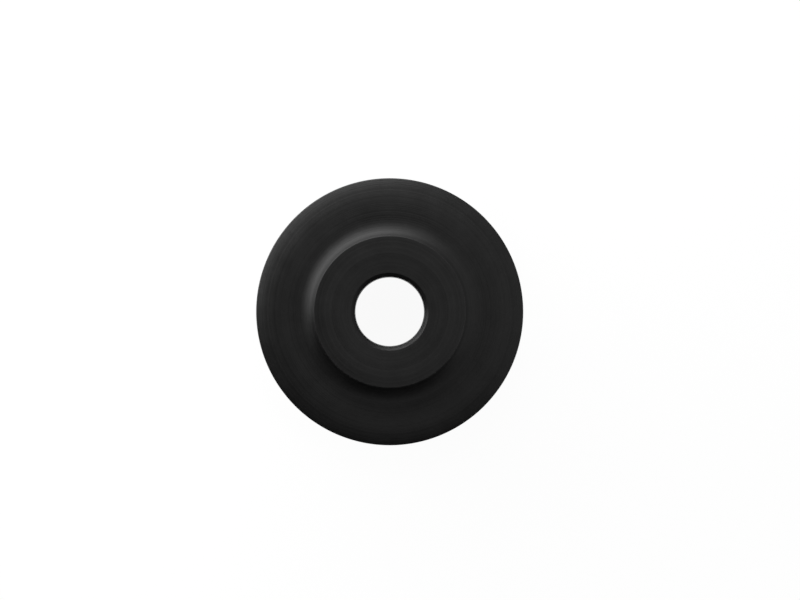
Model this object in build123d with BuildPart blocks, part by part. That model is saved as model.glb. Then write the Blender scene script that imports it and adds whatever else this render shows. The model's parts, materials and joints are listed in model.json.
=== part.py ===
from build123d import *
import os

os.makedirs("parts", exist_ok=True)

# Cutter wheel for steel pipe, turned in one piece from tool steel.
# Millimetres. The axle runs along Z, and the cutting edge lies in the XY plane,
# so the origin is the middle of the bore. Both sides of the wheel are alike.

# Hub
hub_diameter = 18.0
hub_width = 19.0  # over the two thrust faces, which run between the cutter's cheeks
hub_edge_break = 0.05  # sharp corners taken off, at 45 degrees
bore_diameter = 8.3  # running fit on the wheel pin
bore_chamfer = 0.45

# Blade, built outwards from the hub
root_width = 2.1  # radial width of the hollow root between hub and web
root_height = 1.2  # its rise up the side of the hub
web_width = 1.35  # flat ring between the root and the ground flank
web_thickness = 1.6
flank_width = 3.55  # radial depth of the ground flank
edge_land = 0.1  # what is left of a sharp edge after honing

# Radii, from the axle outwards
bore_radius = bore_diameter / 2
hub_radius = hub_diameter / 2
web_start_radius = hub_radius + root_width
flank_start_radius = web_start_radius + web_width
edge_radius = flank_start_radius + flank_width

# Heights above the plane of the cutting edge
hub_face = hub_width / 2
web_face = web_thickness / 2
edge_corner = edge_land / 2


with BuildPart() as cutter_wheel:
    # Half section on one side of the cutting edge: R outwards, Z along the axle.
    with BuildSketch(Plane.XZ) as section:
        with BuildLine() as outline:
            hub = Polyline(
                (bore_radius, 0),
                (bore_radius, hub_face - bore_chamfer),
                (bore_radius + bore_chamfer, hub_face),
                (hub_radius - hub_edge_break, hub_face),
                (hub_radius, hub_face - hub_edge_break),
                (hub_radius, web_face + root_height),
            )
            # The root leaves the web level, and meets the side of the hub at an angle.
            root = TangentArc(
                (web_start_radius, web_face),
                hub @ 1,
                tangent=(-1, 0),
            )
            web = Line(root @ 0, (flank_start_radius, web_face))
            # The flank leaves the web level too, and bends down to the edge in one arc.
            flank = TangentArc(
                web @ 1,
                (edge_radius, edge_corner),
                tangent=web % 1,
            )
            Line(flank @ 1, (edge_radius, 0))
            mirror(about=Plane.XZ)
        make_face()
    revolve(axis=Axis.Z)

cutter_wheel.part.label = "cutter_wheel"
export_step(cutter_wheel.part, "parts/cutter_wheel.step")
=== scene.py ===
import json
import math

import bmesh
import bpy
from bpy.props import FloatProperty, FloatVectorProperty, IntProperty, PointerProperty
from mathutils import Matrix, Vector


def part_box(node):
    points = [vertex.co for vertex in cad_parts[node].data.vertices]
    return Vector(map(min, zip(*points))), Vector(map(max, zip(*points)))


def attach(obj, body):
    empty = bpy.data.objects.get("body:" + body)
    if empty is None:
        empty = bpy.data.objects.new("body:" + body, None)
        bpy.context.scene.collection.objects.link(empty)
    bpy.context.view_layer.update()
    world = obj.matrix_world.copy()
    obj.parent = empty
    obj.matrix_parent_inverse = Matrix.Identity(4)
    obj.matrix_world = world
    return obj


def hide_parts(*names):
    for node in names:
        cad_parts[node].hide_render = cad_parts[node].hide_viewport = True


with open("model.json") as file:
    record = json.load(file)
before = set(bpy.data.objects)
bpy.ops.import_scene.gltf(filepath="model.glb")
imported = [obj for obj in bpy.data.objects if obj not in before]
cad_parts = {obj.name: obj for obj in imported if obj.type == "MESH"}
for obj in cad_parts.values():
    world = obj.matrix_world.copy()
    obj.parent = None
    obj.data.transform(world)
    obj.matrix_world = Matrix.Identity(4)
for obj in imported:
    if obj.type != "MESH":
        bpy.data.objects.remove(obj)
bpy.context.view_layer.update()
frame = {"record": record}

bl_info = {
    "name": "Pipe Cutter Wheel",
    "version": (1, 0, 0),
    "blender": (4, 5, 0),
    "location": "3D View > Sidebar > Cutter Wheel",
    "description": "Turns a black oxide cutter wheel and sets it up in a small studio",
    "category": "Object",
}

MM = 0.001
NODE = "cutter_wheel"
SLOT = "black_oxide_steel"

# What lies on something else stays this far off it, so that no two faces share a plane.
HAIR = 0.02 * MM

# The photograph's frame and the wheel in it, in pixels from the top left corner
PHOTO_WIDTH = 800
PHOTO_HEIGHT = 600
WHEEL_MIDDLE_X = 389.7
WHEEL_MIDDLE_Y = 311.75
WHEEL_RADIUS_PIXELS = 133.55

# The nearest and the farthest that the camera sees
CLIP_START = 10 * MM
CLIP_END = 10000 * MM

# A noise's values keep close to their middle, and this gain spreads them from about 0 to about 1.
NOISE_MIDDLE = 0.5
NOISE_GAIN = 2.5


# Sizes that the frame gives

def bore_mount():
    """The record's mount for the wheel pin."""
    return next(m for m in frame["record"]["mounts"] if m["name"] == "bore")


WHEEL_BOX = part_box(NODE)
EDGE_RADIUS = min(WHEEL_BOX[1].x, WHEEL_BOX[1].y)
HUB_FACE = WHEEL_BOX[1].z
BORE_RADIUS = bore_mount()["dims"]["r_mm"] * MM
BORE_WALL = bore_mount()["dims"]["length_mm"] * MM
BORE_CHAMFER = HUB_FACE - BORE_WALL / 2


# Settings that a user would change

def length(name, description, default_mm):
    """A size, kept in metres and given here in millimetres."""
    return FloatProperty(
        name=name,
        description=description,
        default=default_mm * MM,
        min=0.0,
        precision=5,
        subtype="DISTANCE",
        unit="LENGTH",
    )


def colour(name, description, default):
    """A colour of red, green and blue, each from 0 to 1."""
    return FloatVectorProperty(
        name=name,
        description=description,
        default=default,
        min=0.0,
        max=1.0,
        size=3,
        subtype="COLOR",
    )


def share(name, description, default):
    """A share from 0 to 1."""
    return FloatProperty(
        name=name, description=description, default=default, min=0.0, max=1.0, subtype="FACTOR"
    )


def angle(name, description, default_degrees):
    """An angle, kept in radians and given here in degrees."""
    return FloatProperty(
        name=name, description=description, default=math.radians(default_degrees), subtype="ANGLE"
    )


def radiance(name, description, default):
    """The brightness of a lamp's face, where 1 is white."""
    return FloatProperty(name=name, description=description, default=default, min=0.0)


def count(name, description, default):
    """A number of like things."""
    return IntProperty(name=name, description=description, default=default, min=1)


class WheelShape(bpy.types.PropertyGroup):
    hub_diameter: length("Hub diameter", "Outside of the plain hub", 18.0)
    hub_edge_break: length("Hub edge break", "Bevel on the rim of each thrust face", 0.05)
    root_width: length("Root width", "Radial width of the fillet between hub and web", 2.1)
    root_height: length("Root height", "Rise of that fillet up the hub", 1.2)
    web_thickness: length("Web thickness", "Blade thickness inside the ground flanks", 1.6)
    flank_width: length("Flank width", "Radial depth of each ground flank", 3.55)
    edge_land: length("Edge land", "Width of the honed cutting edge", 0.1)
    corner_radius: length("Corner radius", "Tiny round on every turned corner", 0.02)
    facet_depth: length("Facet depth", "Most that a facet may cut inside a true curve", 0.0005)


class OxideFinish(bpy.types.PropertyGroup):
    deep_oxide: colour("Deep oxide", "Colour of the thick black oxide", (0.016, 0.016, 0.016))
    thin_oxide: colour("Thin oxide", "Colour where the oxide is thinner", (0.024, 0.024, 0.024))
    metal: share("Metal", "How much the steel shows through the oxide's gloss", 0.85)
    specular: share("Specular", "Gloss of the oil film", 0.3)
    roughness: share("Roughness", "Roughness of the turned faces", 0.5)
    ground_roughness: share("Ground roughness", "Roughness of the ground flanks", 0.48)
    ground_blend: share("Ground blend", "Share of the flank where turned changes to ground", 0.2)
    dullness: share("Dullness", "How much rougher thin oxide is than thick oxide", 0.1)
    mark_pitch: length("Mark pitch", "Spacing of the lathe's tool marks", 0.2)
    mark_depth: length("Mark depth", "Depth of the tool marks", 0.008)
    mottle_size: length("Mottle size", "Width of the patches in the oxide", 2.5)


class StudioSetup(bpy.types.PropertyGroup):
    camera_height: length("Camera height", "From the cutting edge up to the lens", 830.0)
    floor_width: length("Floor width", "Side of the square floor", 6000.0)
    floor_shade: share("Floor shade", "Shade of the floor's own matt surface", 0.9)
    floor_shadow: share("Floor shadow", "How much of the floor's own light and shade shows", 0.06)
    ambient: share("Ambient", "Light from all round on matt surfaces", 0.61)
    key_panels: count("Key panels", "Softboxes in the arc of the key light", 4)
    key_azimuth: angle("Key azimuth", "Middle of the arc, from +X towards +Y", 126.0)
    key_spread: angle("Key spread", "Turn of the whole arc", 100.0)
    key_distance: length("Key distance", "From the axle to the face of each panel", 100.0)
    key_height: length("Key height", "From the floor to the top of the panels", 66.0)
    key_radiance: radiance("Key brightness", "Brightness of the panels' faces", 5.6)
    upper_lamps: count("Upper lamps", "Small softboxes above the wheel", 3)
    upper_azimuth: angle("Upper azimuth", "Middle of their arc, from +X towards +Y", 0.0)
    upper_spread: angle("Upper spread", "Turn of their whole arc", 270.0)
    upper_elevation: angle("Upper elevation", "Their height above the horizon", 70.0)
    upper_distance: length("Upper distance", "From the wheel to each of them", 400.0)
    upper_width: length("Upper width", "Side of each square face", 60.0)
    upper_radiance: radiance("Upper brightness", "Brightness of their faces", 9.7)
    flag_azimuth: angle("Flag azimuth", "Middle of the black card, from +X towards +Y", 248.5)
    flag_spread: angle("Flag spread", "Turn of the black card", 145.0)
    flag_facets: count("Flag facets", "Flat strips that make the card's bend", 48)
    flag_foot: length("Flag foot", "From the axle to the card's near edge on the floor", 62.0)
    flag_distance: length("Flag distance", "From the axle to where the card stands up", 150.0)
    flag_height: length("Flag height", "From the floor to the top of the card", 260.0)
    overhead_height: length("Overhead height", "From the floor up to the black card", 600.0)
    overhead_width: length("Overhead width", "Side of the square black card above", 850.0)
    card_shade: share("Card shade", "Shade of the black cards", 0.05)


# The section of the wheel

def steps_for(turn, radius, depth):
    """How many straight steps keep an arc within a depth of the true curve."""
    return max(2, math.ceil(turn / (2 * math.acos(1 - depth / radius))))


def rounded(corners, depth):
    """A path through corners (r, z, radius), with each radius as an arc of short steps."""
    path = []
    for i, (r, z, radius) in enumerate(corners):
        corner = Vector((r, z))
        if radius == 0 or i in (0, len(corners) - 1):
            path.append(corner)
            continue
        back = (Vector(corners[i - 1][:2]) - corner).normalized()
        ahead = (Vector(corners[i + 1][:2]) - corner).normalized()
        turn = math.pi - back.angle(ahead)
        run = radius * math.tan(turn / 2)
        centre = corner + (back + ahead).normalized() * (radius / math.cos(turn / 2))
        spoke = corner + back * run - centre
        swing = math.copysign(turn, ahead.cross(back))
        steps = steps_for(turn, radius, depth)
        for k in range(steps + 1):
            path.append(centre + Matrix.Rotation(swing * k / steps, 2) @ spoke)
    return path


def level_arc(start, end, depth):
    """An arc of short steps that leaves its start level and bends up or down to its end."""
    run = end.x - start.x
    rise = end.y - start.y
    radius = (run**2 + rise**2) / (2 * abs(rise))
    turn = math.asin(min(1.0, abs(run) / radius))
    steps = steps_for(turn, radius, depth)
    return [
        start + Vector((
            math.copysign(radius * math.sin(turn * k / steps), run),
            math.copysign(radius * (1 - math.cos(turn * k / steps)), rise),
        ))
        for k in range(steps + 1)
    ]


def half_section(shape):
    """The upper half of the wheel's section, from the bore's middle out to the cutting edge."""
    tiny = shape.corner_radius
    hub_radius = shape.hub_diameter / 2
    web_face = shape.web_thickness / 2
    root_top = Vector((hub_radius, web_face + shape.root_height))
    web_start = Vector((hub_radius + shape.root_width, web_face))
    flank_start = Vector((EDGE_RADIUS - shape.flank_width, web_face))
    edge_corner = Vector((EDGE_RADIUS, shape.edge_land / 2))
    hub = rounded(
        [
            (BORE_RADIUS, 0.0, 0.0),
            (BORE_RADIUS, HUB_FACE - BORE_CHAMFER, tiny),
            (BORE_RADIUS + BORE_CHAMFER, HUB_FACE, tiny),
            (hub_radius - shape.hub_edge_break, HUB_FACE, tiny),
            (hub_radius, HUB_FACE - shape.hub_edge_break, tiny),
            (root_top.x, root_top.y, 0.0),
        ],
        shape.facet_depth,
    )
    root = level_arc(web_start, root_top, shape.facet_depth)
    flank = level_arc(flank_start, edge_corner, shape.facet_depth)
    # The root is drawn from the web inwards, and its last point is the hub's last one.
    return hub + root[-2::-1] + flank + [Vector((EDGE_RADIUS, 0.0))]


# Meshes and objects

def spun(name, path, turn, steps, closed):
    """A mesh made by turning a path of (r, z) points round Z. The path starts on +X."""
    bm = bmesh.new()
    points = [bm.verts.new((p.x, 0.0, p.y)) for p in path]
    ends = zip(points, points[1:] + points[:1] if closed else points[1:])
    edges = [bm.edges.new(pair) for pair in ends]
    bmesh.ops.spin(
        bm, geom=points + edges, axis=(0, 0, 1), cent=(0, 0, 0),
        angle=turn, steps=steps, use_merge=turn == math.tau,
    )
    bmesh.ops.recalc_face_normals(bm, faces=bm.faces)
    for face in bm.faces:
        face.smooth = True
    mesh = bpy.data.meshes.new(name)
    bm.to_mesh(mesh)
    bm.free()
    return mesh


def level_square(name, width, height):
    """A mesh of one level square, at a height above the plane of the cutting edge."""
    bm = bmesh.new()
    bmesh.ops.create_grid(bm, size=width / 2)
    bmesh.ops.translate(bm, verts=bm.verts, vec=(0.0, 0.0, height))
    mesh = bpy.data.meshes.new(name)
    bm.to_mesh(mesh)
    bm.free()
    return mesh


def add_object(scene, name, data, material=None):
    """A new object in the scene, with one material if it is given one."""
    made = bpy.data.objects.new(name, data)
    if material:
        data.materials.append(material)
    scene.collection.objects.link(made)
    return made


# Shader maths

class Number:
    """A number in a shader. Python maths on it adds Math nodes."""

    def __init__(self, shader, socket):
        self.shader = shader
        self.socket = socket

    def __add__(self, other):
        return self.shader.math("ADD", self, other)

    __radd__ = __add__

    def __sub__(self, other):
        return self.shader.math("SUBTRACT", self, other)

    def __rsub__(self, other):
        return self.shader.math("SUBTRACT", other, self)

    def __mul__(self, other):
        return self.shader.math("MULTIPLY", self, other)

    __rmul__ = __mul__

    def __truediv__(self, other):
        return self.shader.math("DIVIDE", self, other)

    def __rtruediv__(self, other):
        return self.shader.math("DIVIDE", other, self)

    def __pow__(self, other):
        return self.shader.math("POWER", self, other)

    def __rpow__(self, other):
        return self.shader.math("POWER", other, self)


class Shader:
    """The nodes of a new material or world, and the one way to add to them."""

    def __init__(self, owner):
        owner.use_nodes = True
        self.owner = owner
        self.tree = owner.node_tree
        self.tree.nodes.clear()

    def node(self, kind, settings=None, **sockets):
        """Adds a node, sets its settings first, and then sets or links its sockets.

        A socket goes by its label, with _ for a space, or by i and its number.
        """
        made = self.tree.nodes.new(kind)
        for key, value in (settings or {}).items():
            setattr(made, key, value)
        for key, value in sockets.items():
            place = int(key[1:]) if key[0] == "i" and key[1:].isdigit() else key.replace("_", " ")
            self.feed(made.inputs[place], value)
        return made

    def feed(self, socket, value):
        """Links a socket to another node's output, or sets its value."""
        source = value.socket if isinstance(value, Number) else value
        if isinstance(source, bpy.types.NodeSocket):
            self.tree.links.new(source, socket)
        else:
            socket.default_value = source

    def math(self, operation, a, b):
        """A number worked out from two others by a Math node."""
        made = self.node("ShaderNodeMath", {"operation": operation}, i0=a, i1=b)
        return Number(self, made.outputs[0])

    def output(self, surface):
        """Ends a material in its surface, or a world in its background."""
        kind = "World" if isinstance(self.owner, bpy.types.World) else "Material"
        self.node("ShaderNodeOutput" + kind, Surface=surface.outputs[0])
        return self.owner


def rgba(value):
    return (*value, 1.0)


def grey(value):
    return (value, value, value, 1.0)


def widened(noise):
    """A noise spread out round its middle, from about 0 to about 1."""
    return NOISE_GAIN * (noise - NOISE_MIDDLE) + NOISE_MIDDLE


# The wheel

def black_oxide(finish, shape):
    """Oiled black oxide on turned steel: concentric tool marks and a faint mottle."""
    shader = Shader(bpy.data.materials.new(SLOT))
    place = shader.node("ShaderNodeTexCoord").outputs["Object"]
    in_mm = shader.node("ShaderNodeVectorMath", {"operation": "SCALE"}, i0=place, Scale=1 / MM)
    spot = in_mm.outputs[0]
    axes = shader.node("ShaderNodeSeparateXYZ", i0=spot).outputs
    x, y, z = (Number(shader, s) for s in axes)
    radius = (x * x + y * y) ** 0.5

    # The marks run round the axle, so they change with the radius and along the axle alone.
    pitch = finish.mark_pitch / MM
    across = shader.node("ShaderNodeCombineXYZ", X=radius / pitch, Y=z / pitch)
    marks = shader.node(
        "ShaderNodeTexNoise", {"noise_dimensions": "2D"}, Vector=across.outputs[0],
        Scale=1.0, Detail=2.0, Roughness=0.5,
    )
    mark = widened(Number(shader, marks.outputs["Fac"]))

    patches = shader.node(
        "ShaderNodeTexNoise", Vector=spot, Scale=MM / finish.mottle_size, Detail=6.0, Roughness=0.6
    )
    mottle = widened(Number(shader, patches.outputs["Fac"]))

    thinness = (mottle + mark) / 2
    tint = shader.node(
        "ShaderNodeMix", {"data_type": "RGBA"},
        i0=thinness, i6=rgba(finish.deep_oxide), i7=rgba(finish.thin_oxide),
    )
    flank_start = EDGE_RADIUS - shape.flank_width
    ground = shader.node(
        "ShaderNodeMapRange", {"interpolation_type": "SMOOTHSTEP"},
        Value=radius,
        From_Min=flank_start / MM,
        From_Max=(flank_start + finish.ground_blend * shape.flank_width) / MM,
        To_Min=finish.roughness,
        To_Max=finish.ground_roughness,
    )
    rough = Number(shader, ground.outputs[0]) + finish.dullness * (thinness - NOISE_MIDDLE)
    bump = shader.node(
        "ShaderNodeBump", Strength=1.0, Distance=finish.mark_depth, Height=mark,
    )
    skin = shader.node(
        "ShaderNodeBsdfPrincipled",
        Base_Color=tint.outputs[2],
        Metallic=finish.metal,
        Roughness=rough,
        Specular_IOR_Level=finish.specular,
        Normal=bump.outputs[0],
    )
    return shader.output(skin)


class OBJECT_OT_cutter_wheel(bpy.types.Operator):
    """Turn the cutter wheel and give it its black oxide finish"""

    bl_idname = "object.cutter_wheel"
    bl_label = "Cutter Wheel"

    def execute(self, context):
        scene = context.scene
        shape = scene.cutter_wheel_shape
        upper = half_section(shape)
        lower = [Vector((p.x, -p.y)) for p in reversed(upper[1:-1])]
        facets = steps_for(math.tau, EDGE_RADIUS, shape.facet_depth)
        wheel = add_object(
            scene,
            "cutter_wheel_steel",
            spun("cutter_wheel_steel", upper + lower, math.tau, facets, closed=True),
            black_oxide(scene.cutter_wheel_finish, shape),
        )
        # Flat faces keep a flat look up to their tiny rounds.
        wheel.modifiers.new("flat faces", "WEIGHTED_NORMAL")
        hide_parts(NODE)
        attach(wheel, "root")
        return {"FINISHED"}


# The studio

def looked_at(shader):
    """1 for what the camera, a reflection or a view through glass meets, and 0 for matt light."""
    path = shader.node("ShaderNodeLightPath").outputs
    rays = ("Is Camera Ray", "Is Glossy Ray", "Is Transmission Ray")
    camera, glossy, transmission = (Number(shader, path[ray]) for ray in rays)
    return shader.math("MINIMUM", camera + glossy + transmission, 1.0)


def studio_floor(setup):
    """White ground that keeps a trace of its own light and shade."""
    shader = Shader(bpy.data.materials.new("studio_floor"))
    matt = shader.node("ShaderNodeBsdfDiffuse", Color=grey(setup.floor_shade))
    white = shader.node("ShaderNodeEmission", Color=grey(1.0), Strength=1.0)
    mixed = shader.node(
        "ShaderNodeMixShader", i0=(1 - setup.floor_shadow) * looked_at(shader),
        i1=matt.outputs[0], i2=white.outputs[0],
    )
    return shader.output(mixed)


def matt_card(setup):
    """Matt black card that darkens what reflects it."""
    shader = Shader(bpy.data.materials.new("matt_card"))
    return shader.output(shader.node("ShaderNodeBsdfDiffuse", Color=grey(setup.card_shade)))


def studio_world(setup):
    """White all round to look at, and a lower level of light for matt surfaces."""
    world = bpy.data.worlds.new("studio")
    shader = Shader(world)
    strength = setup.ambient + (1 - setup.ambient) * looked_at(shader)
    shader.output(shader.node("ShaderNodeBackground", Color=grey(1.0), Strength=strength))
    # Rays meet this light by chance only and none are aimed at it, so a card in the way hides it.
    world.cycles.sampling_method = "NONE"
    return world


def softbox(scene, name, azimuth, elevation, distance, size, brightness):
    """A rectangular lamp that faces the wheel. Azimuth runs from +X towards +Y."""
    lamp = bpy.data.lights.new(name, "AREA")
    lamp.shape = "RECTANGLE"
    lamp.size, lamp.size_y = size
    lamp.energy = brightness * math.pi * lamp.size * lamp.size_y
    panel = add_object(scene, name, lamp)
    outwards = Vector((
        math.cos(azimuth) * math.cos(elevation),
        math.sin(azimuth) * math.cos(elevation),
        math.sin(elevation),
    ))
    panel.location = outwards * distance
    panel.rotation_euler = outwards.to_track_quat("Z", "Y").to_euler()
    panel.visible_camera = False


def azimuths_in_arc(middle, spread, number):
    """The azimuths of lamps that share an arc evenly."""
    return [middle + spread * ((k + 0.5) / number - 0.5) for k in range(number)]


def set_key_light(scene, setup):
    """Softboxes that stand on the floor, edge to edge round one side of the wheel."""
    half_step = setup.key_spread / setup.key_panels / 2
    size = (2 * setup.key_distance * math.tan(half_step), setup.key_height)
    elevation = math.atan2(setup.key_height / 2 - HUB_FACE, setup.key_distance)
    azimuths = azimuths_in_arc(setup.key_azimuth, setup.key_spread, setup.key_panels)
    for k, azimuth in enumerate(azimuths, 1):
        softbox(
            scene, f"key_{k}", azimuth, elevation, setup.key_distance, size, setup.key_radiance
        )


def set_upper_light(scene, setup):
    """Small softboxes high above three sides of the wheel."""
    size = (setup.upper_width, setup.upper_width)
    azimuths = azimuths_in_arc(setup.upper_azimuth, setup.upper_spread, setup.upper_lamps)
    for k, azimuth in enumerate(azimuths, 1):
        softbox(
            scene, f"upper_{k}", azimuth, setup.upper_elevation, setup.upper_distance, size,
            setup.upper_radiance,
        )


def hang_card(scene, name, mesh, material):
    """A card that shows in reflections alone: the camera, the lamps and matt light ignore it."""
    card = add_object(scene, name, mesh, material)
    card.visible_camera = False
    card.visible_diffuse = False
    card.visible_shadow = False
    return card


def set_cards(scene, setup):
    """A black flag round the dim side, and a black card above."""
    lying = -HUB_FACE + HAIR
    profile = [
        Vector((setup.flag_foot, lying)),
        Vector((setup.flag_distance, lying)),
        Vector((setup.flag_distance, setup.flag_height - HUB_FACE)),
    ]
    bowl = spun("flag", profile, setup.flag_spread, setup.flag_facets, closed=False)
    black = matt_card(setup)
    flag = hang_card(scene, "flag", bowl, black)
    flag.rotation_euler.z = setup.flag_azimuth - setup.flag_spread / 2
    above = level_square("overhead", setup.overhead_width, setup.overhead_height - HUB_FACE)
    hang_card(scene, "overhead", above, black)


def set_camera(scene, setup):
    """A long lens straight above, framed as the photograph is."""
    camera = bpy.data.cameras.new("camera")
    pixel = EDGE_RADIUS / WHEEL_RADIUS_PIXELS
    camera.lens = camera.sensor_width * setup.camera_height / (PHOTO_WIDTH * pixel)
    camera.shift_x = (PHOTO_WIDTH / 2 - WHEEL_MIDDLE_X) / PHOTO_WIDTH
    camera.shift_y = (WHEEL_MIDDLE_Y - PHOTO_HEIGHT / 2) / PHOTO_WIDTH
    camera.clip_start = CLIP_START
    camera.clip_end = CLIP_END
    eye = add_object(scene, "camera", camera)
    eye.location = (0.0, 0.0, setup.camera_height)
    scene.camera = eye


class SCENE_OT_cutter_wheel_studio(bpy.types.Operator):
    """Lay the floor and set up lamps, cards, world and camera"""

    bl_idname = "scene.cutter_wheel_studio"
    bl_label = "Studio"

    def execute(self, context):
        scene = context.scene
        setup = scene.cutter_wheel_studio
        set_camera(scene, setup)
        ground = level_square("floor", setup.floor_width, -HUB_FACE - HAIR)
        add_object(scene, "floor", ground, studio_floor(setup))
        set_key_light(scene, setup)
        set_upper_light(scene, setup)
        set_cards(scene, setup)
        scene.world = studio_world(setup)
        scene.view_settings.view_transform = "Standard"
        return {"FINISHED"}


class VIEW3D_PT_cutter_wheel(bpy.types.Panel):
    """Settings and buttons of the cutter wheel"""

    bl_label = "Cutter Wheel"
    bl_idname = "VIEW3D_PT_cutter_wheel"
    bl_space_type = "VIEW_3D"
    bl_region_type = "UI"
    bl_category = "Cutter Wheel"

    def draw(self, context):
        for group, operator in (
            (context.scene.cutter_wheel_shape, OBJECT_OT_cutter_wheel),
            (context.scene.cutter_wheel_finish, None),
            (context.scene.cutter_wheel_studio, SCENE_OT_cutter_wheel_studio),
        ):
            box = self.layout.box()
            for name in group.__annotations__:
                box.prop(group, name)
            if operator:
                box.operator(operator.bl_idname)


CLASSES = (
    WheelShape,
    OxideFinish,
    StudioSetup,
    OBJECT_OT_cutter_wheel,
    SCENE_OT_cutter_wheel_studio,
    VIEW3D_PT_cutter_wheel,
)


def register():
    for cls in CLASSES:
        bpy.utils.register_class(cls)
    bpy.types.Scene.cutter_wheel_shape = PointerProperty(type=WheelShape)
    bpy.types.Scene.cutter_wheel_finish = PointerProperty(type=OxideFinish)
    bpy.types.Scene.cutter_wheel_studio = PointerProperty(type=StudioSetup)


def unregister():
    del bpy.types.Scene.cutter_wheel_studio
    del bpy.types.Scene.cutter_wheel_finish
    del bpy.types.Scene.cutter_wheel_shape
    for cls in reversed(CLASSES):
        bpy.utils.unregister_class(cls)


def main():
    register()
    bpy.ops.object.cutter_wheel()
    bpy.ops.scene.cutter_wheel_studio()


if __name__ == "__main__":
    main()
